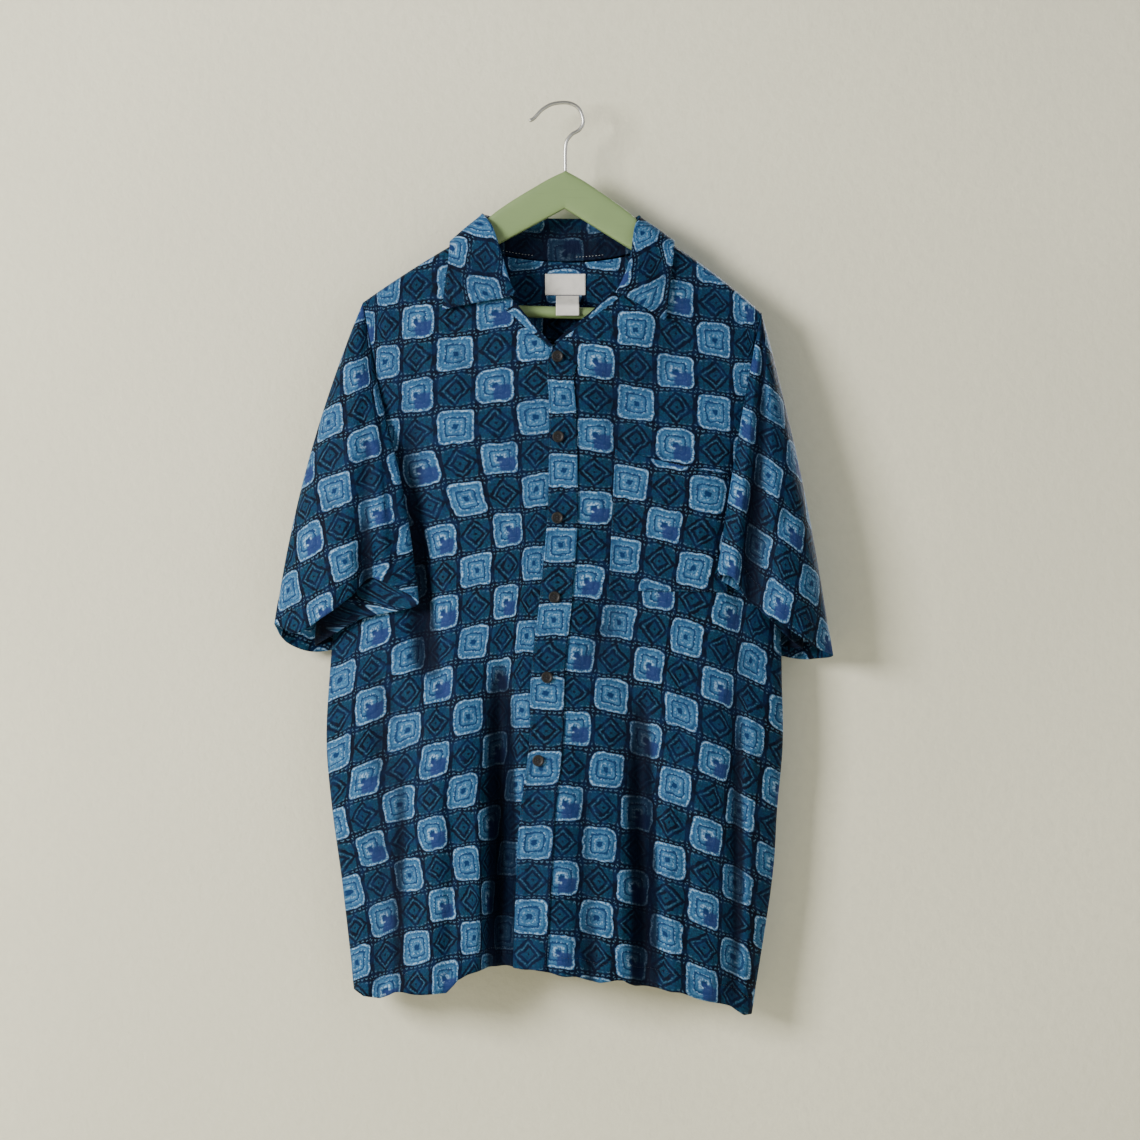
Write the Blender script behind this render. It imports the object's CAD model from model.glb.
"""Looks of a short-sleeved printed shirt that hangs on a flat wooden hanger.

Tables and shape functions are in millimetres, in the frame of the solids: X to the viewer's right, Y away
from the viewer, Z up, with the origin under the hook's crown. Meshes are made in metres. Left and right
are the wearer's, so the wearer's left is at +X.
"""

import bpy
import numpy as np
from bpy.props import FloatProperty, FloatVectorProperty, PointerProperty
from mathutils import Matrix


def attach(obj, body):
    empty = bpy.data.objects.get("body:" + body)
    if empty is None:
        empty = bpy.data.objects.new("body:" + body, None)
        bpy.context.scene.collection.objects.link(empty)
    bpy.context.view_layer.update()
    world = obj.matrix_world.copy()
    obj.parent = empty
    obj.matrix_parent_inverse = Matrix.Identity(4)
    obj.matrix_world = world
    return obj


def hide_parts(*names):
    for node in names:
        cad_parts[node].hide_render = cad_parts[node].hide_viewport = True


bl_info = {
    "name": "Shirt on a hanger",
    "version": (1, 0, 0),
    "blender": (4, 5, 0),
    "location": "3D View > Sidebar > Shirt",
    "description": "Makes the cloth, buttons, labels, hanger and stage of a hanging printed shirt",
    "category": "Add Mesh",
}

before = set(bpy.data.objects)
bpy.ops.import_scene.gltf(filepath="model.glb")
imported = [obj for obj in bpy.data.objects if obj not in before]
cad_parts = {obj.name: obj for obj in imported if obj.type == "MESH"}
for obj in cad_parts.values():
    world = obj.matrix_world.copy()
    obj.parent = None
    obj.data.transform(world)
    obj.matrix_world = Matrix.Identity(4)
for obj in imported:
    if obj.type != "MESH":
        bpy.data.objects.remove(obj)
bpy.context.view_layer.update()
MM = 0.001

# Cloth as drawn: shells lie inside the solids' walls, and laid pieces stand this far off their panel.
SHELL = 0.9
LAID = 2.1
LAID_SHELL = 1.5
LABEL_SHELL = 0.6
SEAM = 0.3


class Table:
    """Named rows of number columns. A share of its length gives values on a smooth curve through it."""

    def __init__(self, columns, *rows):
        self.columns = columns.split()
        self.labels = [row[0] for row in rows]
        self.values = np.array([row[1:] for row in rows], float)

    def column(self, name):
        return self.values[:, self.columns.index(name)]

    def row(self, label):
        return self._named(self.values[self.labels.index(label)])

    def place(self, label):
        return self.labels.index(label) / (len(self.labels) - 1)

    def at(self, t):
        """The columns at shares t: a cubic through four rows, with the end rows used twice."""
        last = len(self.values) - 1
        place = np.clip(t, 0, 1) * last
        i = np.minimum(np.floor(place).astype(int), last - 1)
        near = [self.values[np.clip(i + k, 0, last)] for k in (-1, 0, 1, 2)]
        return self._named(cubic(near, (place - i)[..., None]))

    def around(self, t, turning):
        """The same on a table that closes on itself. The column called turning gains 1 each time round."""
        count = len(self.values)
        place = np.asarray(t) * count
        i = np.floor(place).astype(int)
        near = []
        for k in (-1, 0, 1, 2):
            rows = self.values[(i + k) % count].copy()
            rows[..., self.columns.index(turning)] += (i + k) // count
            near.append(rows)
        return self._named(cubic(near, (place - i)[..., None]))

    def _named(self, values):
        return {name: values[..., i] for i, name in enumerate(self.columns)}


def cubic(near, f):
    """The curve through the middle two of four rows, leaving each along the line between its neighbours."""
    p, q, r, s = near
    return q + 0.5 * f * (r - p + f * (2 * p - 5 * q + 4 * r - s + f * (3 * (q - r) + s - p)))


def smoothstep(x, low, high):
    """0 below low, 1 above high and 3t² - 2t³ between them."""
    t = np.clip((x - low) / (high - low), 0, 1)
    return t * t * (3 - 2 * t)


def lerp(a, b, t):
    return a + (b - a) * t


def points_of(row, name):
    """The point whose three coordinates are the columns nameX, nameY and nameZ."""
    return np.stack([row[name + axis] for axis in "XYZ"], axis=-1)


def unit(vectors):
    return vectors / np.maximum(np.linalg.norm(vectors, axis=-1, keepdims=True), 1e-9)


# Sections of the right front from the shoulder crest to the hem, as in the solids. in is the neckline or
# front edge and out the armhole or side seam. Y is the distance in front of the hanger's plane, backY and
# spine the back's distance behind it, at its edge and at its middle.
RIGHT_SECTIONS = Table(
    "inX inZ outX outZ inY outY backY spine",
    ("crest", -108, -146, -215, -214, 0, 0, 0, 0),
    ("turn", -107, -149, -215, -217, 8.4, 8, 8.6, 8.6),
    ("shoulder", -105, -155, -213, -224, 11, 10, 10, 10),
    ("neck side", -97, -168, -211, -238, 13, 11, 11, 12),
    ("neck", -78, -190, -206, -262, 18, 15, 14, 15),
    ("collar end", -53, -213, -200, -295, 23, 19, 16, 18),
    ("lapel", -32, -238, -197, -327, 28, 21, 17, 20),
    ("top button", -6, -270, -197, -370, 32, 22, 17, 22),
    ("chest", 12, -321, -203, -424, 34, 19, 14, 23),
    ("armpit", 10, -386, -219, -461, 35, 11, 8, 24),
    ("underarm", 9, -450, -233, -485, 36, 0, 0, 25),
    ("sleeve hem", 1, -536, -245, -553, 38, 0, 0, 26),
    ("waist", -8, -613, -252, -622, 40, 0, 0, 26),
    ("belly", -11, -687, -255, -692, 42, 0, 0, 27),
    ("seat", -18, -762, -249, -762, 42, 0, 0, 27),
    ("thigh", -23, -843, -238, -843, 42, 0, 0, 27),
    ("hem", -25, -930, -225, -957, 42, 0, 0, 26),
)
LEFT_SECTIONS = Table(
    "inX inZ outX outZ inY outY backY",
    ("crest", 112, -147, 215, -225, 0, 0, 0),
    ("turn", 111, -150, 215, -228, 8.4, 8, 8.6),
    ("shoulder", 109, -156, 213, -235, 11, 10, 10),
    ("neck side", 101, -168, 210, -248, 13, 11, 11),
    ("neck", 86, -189, 206, -268, 18, 15, 14),
    ("collar end", 68, -206, 202, -298, 23, 19, 16),
    ("lapel", 39, -228, 201, -330, 28, 21, 17),
    ("top button", -12, -270, 202, -372, 32, 22, 17),
    ("chest", -14, -321, 206, -424, 34, 19, 14),
    ("armpit", -14, -386, 217, -461, 35, 11, 8),
    ("underarm", -16, -450, 230, -485, 36, 0, 0),
    ("sleeve hem", -24, -536, 236, -553, 38, 0, 0),
    ("waist", -33, -613, 238, -622, 40, 0, 0),
    ("belly", -35, -687, 239, -692, 42, 0, 0),
    ("seat", -44, -762, 233, -762, 42, 0, 0),
    ("thigh", -48, -843, 227, -843, 42, 0, 0),
    ("hem", -51, -930, 205, -983, 42, 0, 0),
)

# Hem of the fronts and the back: height against width.
HEM = Table(
    "x z",
    ("right side", -225, -957),
    ("right corner", -214, -964),
    ("right low", -196, -965),
    ("right rise", -180, -958),
    ("right flat", -150, -960),
    ("before the step", -124, -957),
    ("step", -112, -943),
    ("valley", -78, -930),
    ("right of the placket", -45, -930),
    ("left of the placket", 16, -940),
    ("low wave", 40, -947),
    ("high wave", 66, -944),
    ("left valley", 80, -951),
    ("left flat", 125, -957),
    ("left fall", 152, -966),
    ("left low", 182, -974),
    ("left corner", 196, -984),
    ("left side", 205, -984),
)

# Large folds, as in the solids.
FOLD_COLUMNS = "topX topZ lowX lowZ width depth fade"
FRONT_FOLDS = Table(
    FOLD_COLUMNS,
    ("deep valley", -70, -560, -66, -1050, 17, -17, 220),
    ("right ridge", -120, -560, -142, -1050, 34, 9, 200),
    ("right side", -196, -560, -192, -1050, 18, -7, 160),
    ("middle ridge", 0, -620, -8, -1050, 32, 8, 220),
    ("left valley", 74, -600, 92, -1050, 20, -14, 240),
    ("left ridge", 140, -560, 152, -1050, 36, 10, 200),
    ("right armhole", -168, -300, -146, -640, 17, -9, 90),
    ("left armhole", 196, -330, 186, -640, 16, -6, 90),
)
BACK_FOLDS = Table(
    FOLD_COLUMNS,
    ("right fold", -96, -300, -118, -1050, 26, -8, 260),
    ("spine fold", 12, -380, 4, -1050, 34, 6, 260),
    ("left fold", 88, -330, 112, -1050, 24, -9, 260),
)

# Creases that only the cloth's surface has: soft troughs and ridges of a few millimetres, each from a top
# to a low end. They are uneven in length, depth and spacing, and the hidden sides have their own.
CREASE_COLUMNS = "topX topZ lowX lowZ width depth"
FRONT_CREASES = Table(
    CREASE_COLUMNS,
    ("right shoulder drag", -196, -246, -120, -330, 12, -1.6),
    ("right chest drag", -176, -300, -66, -372, 15, 1.5),
    ("under the right leaf", -128, -240, -84, -318, 11, -1.5),
    ("top button pull", -66, -268, -8, -290, 9, 1.2),
    ("second button pull", -74, -372, -10, -362, 8, -1.1),
    ("third button pull", 4, -446, 66, -462, 9, -1.0),
    ("heart of the valley", -66, -600, -63, -1000, 8, -15.0),
    ("beside the valley", -88, -660, -90, -1000, 9, 6.0),
    ("placket side of the valley", -44, -660, -42, -1000, 8, 5.0),
    ("heart of the left valley", 84, -640, 92, -1020, 9, -13.0),
    ("right of the left valley", 64, -700, 68, -1000, 9, 5.0),
    ("left of the left valley", 108, -700, 116, -1000, 10, 5.0),
    ("right flank", -150, -470, -118, -700, 11, -4.0),
    ("right flank ridge", -132, -500, -98, -760, 12, 2.6),
    ("right waist drape", -232, -560, -150, -700, 13, -2.4),
    ("right waist ridge", -240, -640, -176, -800, 12, 2.4),
    ("right side ripple", -216, -700, -206, -950, 8, -3.0),
    ("right hip trough", -168, -680, -176, -1000, 10, -7.0),
    ("right inner trough", -116, -700, -122, -980, 8, -6.0),
    ("beside the placket", -42, -700, -40, -930, 8, -2.6),
    ("under the placket", 22, -640, 26, -940, 9, -3.2),
    ("placket left ridge", 44, -700, 52, -940, 10, 2.6),
    ("left shoulder drag", 196, -252, 122, -340, 12, -1.6),
    ("left chest drag", 168, -300, 60, -350, 15, 1.4),
    ("under the left leaf", 126, -250, 84, -322, 11, -1.4),
    ("left pocket drag", 60, -530, 10, -640, 14, -2.2),
    ("left flank", 150, -560, 116, -760, 12, -2.6),
    ("left waist drape", 226, -570, 160, -690, 13, -2.6),
    ("left waist ridge", 232, -640, 176, -780, 12, 2.6),
    ("left hip trough", 132, -740, 140, -1000, 9, -5.0),
    ("left side trough", 188, -620, 186, -1020, 8, -10.0),
    ("left side ripple", 206, -640, 198, -1020, 7, 7.0),
    ("left low ridge", 66, -800, 64, -950, 7, 2.0),
)
BACK_CREASES = Table(
    CREASE_COLUMNS,
    ("right shoulder blade", -180, -250, -110, -360, 15, -2.0),
    ("left shoulder blade", 178, -256, 108, -366, 15, -2.2),
    ("under the collar", -50, -230, 20, -300, 14, 1.4),
    ("right flank", -196, -480, -170, -820, 13, -3.2),
    ("right loin", -150, -420, -146, -700, 12, 2.6),
    ("right hem wave", -70, -640, -62, -960, 11, -3.2),
    ("spine hollow", -28, -420, -24, -720, 12, -2.4),
    ("left hem wave", 54, -620, 48, -960, 10, -3.0),
    ("left loin", 146, -440, 150, -760, 13, 2.8),
    ("left flank", 190, -500, 182, -860, 12, -3.4),
    ("left side ripple", 208, -660, 200, -960, 8, 2.4),
)
RIGHT_SLEEVE_CREASES = Table(
    CREASE_COLUMNS,
    ("from the shoulder", -224, -276, -262, -470, 11, -2.2),
    ("outer ridge", -244, -330, -286, -540, 11, 2.0),
    ("inner trough", -196, -330, -176, -520, 9, -2.6),
    ("lobe ridge", -206, -400, -190, -540, 8, 1.8),
    ("cross drag", -262, -420, -214, -470, 10, -1.6),
    ("hem drag", -282, -500, -236, -540, 9, 1.4),
    ("armhole pull", -214, -290, -200, -380, 7, 1.4),
)
LEFT_SLEEVE_CREASES = Table(
    CREASE_COLUMNS,
    ("from the shoulder", 218, -290, 250, -480, 11, -2.2),
    ("outer ridge", 236, -340, 276, -560, 10, 2.0),
    ("cross drag", 254, -430, 216, -480, 9, -1.6),
    ("hem drag", 270, -520, 226, -552, 9, 1.4),
    ("inner trough", 208, -380, 196, -510, 6, -1.8),
)

# Small waves at the hem of the body: how high each is, and its length, as the width for one radian.
HEM_RIPPLES = Table(
    "height length start",
    ("middle", 1.5, 6.1, 0),
    ("long", 1.2, 10.3, 1),
    ("short", 0.8, 3.7, 2),
)
# The waves also lift the front's hem by this share of their height. Each use of them starts at its own place.
RIPPLE = {"lift": 0.4, "lift start": 31, "back start": 17}

BACK_NECK = {"middle": 2, "half": 110, "drop": 23, "power": 1.5, "depth": 21}

# Shares down the sections, and for the lap across them, over which a feature comes in or fades out.
BOW_END = 0.4
CREST_END = 0.55
HEM_START = 0.9
LAP_FADE = (0.14, 0.34)
FRONT_FOLDS_START = (0.15, 0.35)
BACK_FOLDS_START = (0.2, 0.5)
FRONT_CREASES_START = (0.1, 0.25)
BACK_CREASES_START = (0.15, 0.35)
RIPPLE_START = (0.94, 1)


class Front:
    """One front panel: its sections, the bow of its shoulder line and its lift over the other front."""

    def __init__(self, sections, bow, lap, side):
        self.sections = sections
        self.bow = bow
        self.lap = lap
        self.side = side


RIGHT_FRONT = Front(RIGHT_SECTIONS, bow=2, lap=0, side=-1)
LEFT_FRONT = Front(LEFT_SECTIONS, bow=4, lap=4.2, side=1)


def bells(table, x, z):
    """Sum of the large folds: each a bell across its line, fading in below its top and out above its end."""
    total = np.zeros(np.broadcast(x, z).shape)
    for top_x, top_z, low_x, low_z, width, depth, fade in table.values:
        middle = lerp(top_x, low_x, np.clip((top_z - z) / (top_z - low_z), 0, 1))
        shown = smoothstep(top_z - z, 0, fade) * smoothstep(z - low_z, 0, fade / 2)
        total += depth * shown * np.exp(-(((x - middle) / width) ** 2))
    return total


def creases(table, x, z):
    """Sum of the creases: a bell across the line from top to low end, swelling from each end by a sine."""
    total = np.zeros(np.broadcast(x, z).shape)
    for top_x, top_z, low_x, low_z, width, depth in table.values:
        along_x, along_z = low_x - top_x, low_z - top_z
        length = np.hypot(along_x, along_z)
        share = ((x - top_x) * along_x + (z - top_z) * along_z) / length**2
        off = ((x - top_x) * along_z - (z - top_z) * along_x) / length
        swell = np.sin(np.pi * np.clip(share, 0, 1)) ** 0.8
        total += depth * swell * np.exp(-((off / width) ** 2))
    return total


def ripple(x):
    """Small uneven waves of a hem along its width: three sines whose lengths share no measure."""
    return sum(height * np.sin(x / length + start) for height, length, start in HEM_RIPPLES.values)


def hem_drop(x, last_z, b):
    """How far the hem's own line lies above the last section's, coming in over the last stretch."""
    return (np.interp(x, HEM.column("x"), HEM.column("z")) - last_z) * smoothstep(b, HEM_START, 1)


def crown(across):
    """1 at the middle of the body, falling to 0 at the side: the square root of 1 less the cube."""
    return np.sqrt(np.maximum(0, 1 - np.abs(across) ** 3))


def front_point(front, u, b, creased=True):
    """A front's outer face. u runs from the front edge to the side by the sine of a quarter turn, b down
    the sections. Depth goes from the side's to the middle's by the crown, and folds and creases add to it."""
    u, b = np.broadcast_arrays(np.asarray(u, float), np.asarray(b, float))
    row = front.sections.at(b)
    across = np.sin(u * np.pi / 2)
    x = lerp(row["inX"], row["outX"], across)
    straight = lerp(row["inZ"], row["outZ"], across)
    bow = front.bow * 4 * across * (1 - across) * (1 - smoothstep(b, 0, BOW_END))
    last_z = lerp(front.sections.column("inZ")[-1], front.sections.column("outZ")[-1], across)
    z = straight + bow + hem_drop(x, last_z, b)
    shape = crown(across)
    below = smoothstep(b, *FRONT_FOLDS_START)
    body = lerp(np.maximum(SEAM / 2, row["outY"]), np.maximum(SEAM / 2, row["inY"]), shape)
    lap = front.lap * (1 - smoothstep(across, *LAP_FADE)) * below
    folds = bells(FRONT_FOLDS, x, z) * shape * below
    if creased:
        folds = folds + creases(FRONT_CREASES, x, z) * shape * smoothstep(b, *FRONT_CREASES_START)
        near = shape * smoothstep(b, *RIPPLE_START)
        folds = folds + near * ripple(x)
        z = z + near * RIPPLE["lift"] * ripple(x + RIPPLE["lift start"])
    return np.stack([x, -(body + lap + folds), z], axis=-1)


def neck_arc(x):
    """Quarter-ellipse share of the back neck: 1 at its middle, 0 from the neck points outwards."""
    return np.sqrt(np.maximum(0, 1 - ((x - BACK_NECK["middle"]) / BACK_NECK["half"]) ** 2))


def crest_height(x):
    """Height of the shoulder line, or of the back neck between the two neck points."""
    height = np.zeros(np.shape(x))
    for front in (RIGHT_FRONT, LEFT_FRONT):
        in_x, in_z, out_x, out_z = front.sections.values[0, :4]
        share = np.clip((x - in_x) / (out_x - in_x), 0, 1)
        shoulder = lerp(in_z, out_z, share) + front.bow * 4 * share * (1 - share)
        inside = (x - in_x) / (out_x - in_x) < 0
        neck = in_z - BACK_NECK["drop"] * neck_arc(x) ** BACK_NECK["power"]
        mine = (x >= BACK_NECK["middle"]) == (front.side > 0)
        height = np.where(mine, np.where(inside, neck, shoulder), height)
    return height


def back_point(u, b, creased=True):
    """The back's outer face. u runs from the right side to the left by the sine of a half turn, b down from
    the crest. Its depth goes from the sides' to the spine's by the crown, and the neck pushes it back."""
    u, b = np.broadcast_arrays(np.asarray(u, float), np.asarray(b, float))
    right, left = RIGHT_SECTIONS.at(b), LEFT_SECTIONS.at(b)
    across = np.sin((u - 0.5) * np.pi)
    share = (across + 1) / 2
    x = lerp(right["outX"], left["outX"], share)
    chord = lerp(RIGHT_SECTIONS.column("outZ")[0], LEFT_SECTIONS.column("outZ")[0], share)
    straight = lerp(right["outZ"], left["outZ"], share)
    last_z = lerp(RIGHT_SECTIONS.column("outZ")[-1], LEFT_SECTIONS.column("outZ")[-1], share)
    crest = (crest_height(x) - chord) * (1 - smoothstep(b, 0, CREST_END))
    z = straight + hem_drop(x, last_z, b) + crest
    shape = crown(across)
    edge = np.maximum(SEAM / 2, lerp(right["backY"], left["backY"], share))
    body = lerp(edge, np.maximum(SEAM / 2, right["spine"]), shape)
    neck = BACK_NECK["depth"] * np.sqrt(neck_arc(x))
    below = smoothstep(b, *BACK_FOLDS_START)
    folds = bells(BACK_FOLDS, x, z) * shape * below
    if creased:
        folds = folds + creases(BACK_CREASES, x, z) * shape * smoothstep(b, *BACK_CREASES_START)
        folds = folds + shape * smoothstep(b, *RIPPLE_START) * ripple(x + RIPPLE["back start"])
    return np.stack([x, np.maximum(body, neck) + folds, z], axis=-1)


# Sleeves: lines down the cloth, in order round it from the underarm over the front to the back. share is
# where a line starts on the armhole.
SLEEVE_COLUMNS = "share midX midY midZ hemX hemY hemZ"
RIGHT_SLEEVE_LINES = Table(
    SLEEVE_COLUMNS,
    ("underarm", 0, -257, 0, -535, -266, 0, -586),
    ("front corner", 0.04, -245, -19, -514, -250, -22, -576),
    ("front inside", 0.1, -213, -29, -488, -214, -31, -556),
    ("front fold", 0.21, -171, -41, -422, -154, -44, -541),
    ("front lobe", 0.28, -190, -52, -410, -186, -54, -519),
    ("pinch", 0.33, -208, -47, -400, -207, -38, -513),
    ("front", 0.38, -227, -51, -394, -230, -53, -536),
    ("front outer", 0.42, -247, -45, -390, -258, -50, -556),
    ("turn", 0.46, -264, -29, -388, -286, -36, -572),
    ("outer edge", 0.5, -275, -8, -390, -310, -10, -562),
    ("back turn", 0.56, -262, 12, -396, -297, 15, -584),
    ("back outer", 0.66, -235, 22, -410, -262, 28, -593),
    ("back fold", 0.78, -198, 31, -432, -204, 33, -575),
    ("back inside", 0.9, -214, 25, -482, -222, 26, -574),
)
LEFT_SLEEVE_LINES = Table(
    SLEEVE_COLUMNS,
    ("underarm", 0, 252, 0, -538, 259, 0, -590),
    ("front corner", 0.04, 241, -19, -517, 245, -22, -578),
    ("front inside", 0.1, 214, -28, -492, 216, -31, -550),
    ("front under", 0.25, 198, -36, -420, 188, -39, -526),
    ("front fold", 0.39, 187, -45, -372, 166, -48, -512),
    ("ridge", 0.43, 199, -57, -370, 182, -59, -512),
    ("valley", 0.45, 213, -46, -376, 201, -43, -538),
    ("front", 0.465, 229, -50, -383, 236, -54, -562),
    ("turn", 0.48, 246, -36, -392, 269, -42, -585),
    ("outer edge", 0.5, 258, -10, -402, 292, -12, -596),
    ("back turn", 0.56, 246, 12, -408, 280, 16, -600),
    ("back outer", 0.66, 222, 22, -415, 250, 28, -600),
    ("back fold", 0.78, 192, 28, -432, 198, 32, -585),
    ("back inside", 0.9, 208, 20, -482, 214, 22, -580),
)
ARMHOLE = {"out": 0.6, "front": 0.75, "back": 1.5}


class Sleeve:
    """One sleeve: its lines, the front that it joins, the side that it is on and its own creases."""

    def __init__(self, lines, front, wrinkles):
        self.lines = lines
        self.front = front
        self.side = front.side
        self.creases = wrinkles


RIGHT_SLEEVE = Sleeve(RIGHT_SLEEVE_LINES, RIGHT_FRONT, RIGHT_SLEEVE_CREASES)
LEFT_SLEEVE = Sleeve(LEFT_SLEEVE_LINES, LEFT_FRONT, LEFT_SLEEVE_CREASES)


def armhole_point(sleeve, share):
    """A point of the armhole: 0 at the underarm, 0.5 at the shoulder, back to the underarm at 1. It lies
    just outside the side edges of the front and the back."""
    turn = share - np.floor(share)
    height = 1 - np.abs(turn - 0.5) * 2
    b = RIGHT_SECTIONS.place("underarm") * (1 - height)
    in_front = turn < 0.5
    edge = 0 if sleeve.side < 0 else 1
    point = np.where(in_front[..., None], front_point(sleeve.front, 1, b), back_point(edge, b))
    rise = np.sqrt(np.maximum(0, np.sin(np.pi * height)))
    point[..., 0] += sleeve.side * ARMHOLE["out"]
    point[..., 1] += np.where(in_front, -ARMHOLE["front"], ARMHOLE["back"]) * rise
    return point


def sleeve_point(sleeve, u, t):
    """A sleeve's outer face. u runs round it from the underarm over the front, t down from the armhole:
    each line is a parabola through its armhole, middle and hem points."""
    u, t = np.broadcast_arrays(np.asarray(u, float), np.asarray(t, float))
    line = sleeve.lines.around(u, "share")
    seam = armhole_point(sleeve, line["share"])
    t = t[..., None]
    curve = seam * (1 - t) * (1 - 2 * t) + points_of(line, "mid") * 4 * t * (1 - t)
    return curve + points_of(line, "hem") * t * (2 * t - 1)


# Collar stations, from the right front end round the back of the neck to the left front end.
COLLAR_STATIONS = Table(
    "seamX seamY seamZ rollX rollY rollZ edgeX edgeY edgeZ",
    ("right end", -50, -21, -212, -50, -31, -206, -129, -27, -224),
    ("right front", -67, -18, -196, -58, -28, -191, -127, -25, -203),
    ("right throat", -87, -12, -172, -67, -22, -162, -124, -20, -181),
    ("right shoulder", -103, -9, -153, -77, -16, -132, -122, -15, -160),
    ("right crest", -106, -1, -143, -86, -4, -119, -121, 0, -147.5),
    ("right turn", -104, 9.5, -146.5, -84, 12, -118, -114, 20, -156),
    ("right nape", -86, 15, -154, -74, 24, -119, -97, 34, -170),
    ("right back", -50, 17, -163.5, -45, 27, -120, -52, 38, -196),
    ("middle back", 2, 20, -168, 2, 28, -121, 2, 40, -203),
    ("left back", 54, 17, -164, 49, 27, -121, 56, 38, -197),
    ("left nape", 90, 15, -154.5, 72, 24, -121, 99, 34, -172),
    ("left turn", 106, 11, -147, 80, 12, -121, 114, 20, -155),
    ("left crest", 110, -1, -144, 84, -4, -121, 121, 0, -147),
    ("left shoulder", 107, -9, -154, 80, -16, -135, 121, -15, -158),
    ("left throat", 91, -12, -172, 76, -22, -163, 118, -20, -186),
    ("left front", 76, -18, -192, 69, -28, -185, 115, -25, -210),
    ("left end", 65, -21, -206, 60, -31, -203, 112, -27, -236),
)
COLLAR_ROLL = 2.6


def along_curve(points, a):
    """The centripetal curve through a list of points at shares a: between two points it is the cubic whose
    end slopes weigh the neighbouring steps by the square roots of their lengths."""
    count = len(points)
    place = np.clip(a, 0, 1) * (count - 1)
    result = np.zeros(np.broadcast(a, points[0][..., 0]).shape + (3,))
    for i in range(count - 1):
        p1, p2 = points[i], points[i + 1]
        p0 = points[i - 1] if i > 0 else 2 * p1 - p2
        p3 = points[i + 2] if i + 2 < count else 2 * p2 - p1
        steps = ((p0, p1), (p1, p2), (p2, p3))
        before, gap, after = (np.sqrt(np.linalg.norm(q - p, axis=-1, keepdims=True)) for p, q in steps)
        rise = p2 - p1
        start = ((p1 - p0) / before - (p2 - p0) / (before + gap) + rise / gap) * gap
        end = (rise / gap - (p3 - p1) / (gap + after) + (p3 - p2) / after) * gap
        f = (place - i)[..., None]
        value = p1 + f * start + f * f * (3 * rise - 2 * start - end) + f**3 * (start + end - 2 * rise)
        here = (place >= i) & ((place < i + 1) | (i == count - 2))
        result = np.where(here[..., None], value, result)
    return result


def collar_point(a, b):
    """The collar's outer face. a runs from the neckline seam up the stand, over the roll and down the fall,
    b along the stations. The roll is a narrow arch, square to the neck."""
    a, b = np.broadcast_arrays(np.asarray(a, float), np.asarray(b, float))
    row = COLLAR_STATIONS.at(b)
    seam, roll, edge = (points_of(row, name) for name in ("seam", "roll", "edge"))
    out = roll * [1, 1, 0]
    out[..., 0] -= BACK_NECK["middle"]
    out = unit(out)
    down = np.array([0, 0, COLLAR_ROLL])
    inside = roll - out * COLLAR_ROLL - down
    outside = roll + out * COLLAR_ROLL - down
    stand = lerp(seam, inside, 0.5) + out * COLLAR_ROLL
    fall = lerp(outside, edge, 0.5) + out * COLLAR_ROLL / 2
    return along_curve([seam, stand, inside, roll, outside, fall, edge], a)


# Print: width and height of one cell of the checker, and the height from which its rows are counted down.
CELL = {"wide": 43.0, "high": 39.8}
PRINT_TOP = 108.6

# How the flat cloth is taken up across a front: the distance from its front edge as it hangs, and the
# distance on the flat cloth there, on the chest and below the waist.
TAKE_UP_COLUMNS = "hanging flat"
RIGHT_CHEST_CLOTH = Table(
    TAKE_UP_COLUMNS,
    ("front edge", 0, 0),
    ("chest", 167, 167),
    ("armhole fold", 206, 218),
    ("side", 245, 310),
)
RIGHT_HIP_CLOTH = Table(
    TAKE_UP_COLUMNS,
    ("front edge", 0, 0),
    ("above the valley", 35, 41),
    ("valley", 58, 83),
    ("past the valley", 88, 125),
    ("ridge", 123, 167),
    ("flank", 153, 209),
    ("hip", 195, 251),
    ("side trough", 226, 293),
    ("side", 242, 310),
)
RIGHT_HEM_CLOTH = Table(
    TAKE_UP_COLUMNS,
    ("front edge", 0, 0),
    ("above the valley", 42, 41),
    ("valley", 56, 83),
    ("past the valley", 68, 125),
    ("ridge", 99, 167),
    ("flank", 127, 209),
    ("hip", 161, 251),
    ("side", 205, 310),
)
LEFT_CHEST_CLOTH = Table(
    TAKE_UP_COLUMNS,
    ("front edge", 0, 0),
    ("chest", 180, 180),
    ("armhole fold", 214, 222),
    ("side", 250, 310),
)
LEFT_HIP_CLOTH = Table(
    TAKE_UP_COLUMNS,
    ("front edge", 0, 0),
    ("middle", 87, 94),
    ("valley", 127, 138),
    ("ridge", 161, 181),
    ("hip", 205, 224),
    ("side trough", 235, 267),
    ("side", 277, 310),
)
# A front's print: its take-up tables, the column and row at one place, that place's distance on the flat
# cloth from the front edge and its drop.
RIGHT_PRINT = {
    "chest": RIGHT_CHEST_CLOTH, "hip": RIGHT_HIP_CLOTH, "hem": RIGHT_HEM_CLOTH,
    "column": 3.5, "at": 41, "row": 1.5, "from": 364.4,
}
LEFT_PRINT = {
    "chest": LEFT_CHEST_CLOTH, "hip": LEFT_HIP_CLOTH, "hem": LEFT_HIP_CLOTH,
    "column": 0.5, "at": 50.5, "row": 0.5, "from": 382.4,
}
HIP_BLEND = (0.45, 0.75)
HEM_BLEND = (0.86, 0.98)
CHEST_DROOP = 0.12
HIP_DROOP = 0.00092
BACK_STRETCH = (1.02, 1.25)


def droop(distance, b):
    """How far the print's rows sink away from the middle: straight on the chest, by the square below."""
    return lerp(CHEST_DROOP * distance, HIP_DROOP * distance**2, smoothstep(b, *HIP_BLEND))


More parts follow.
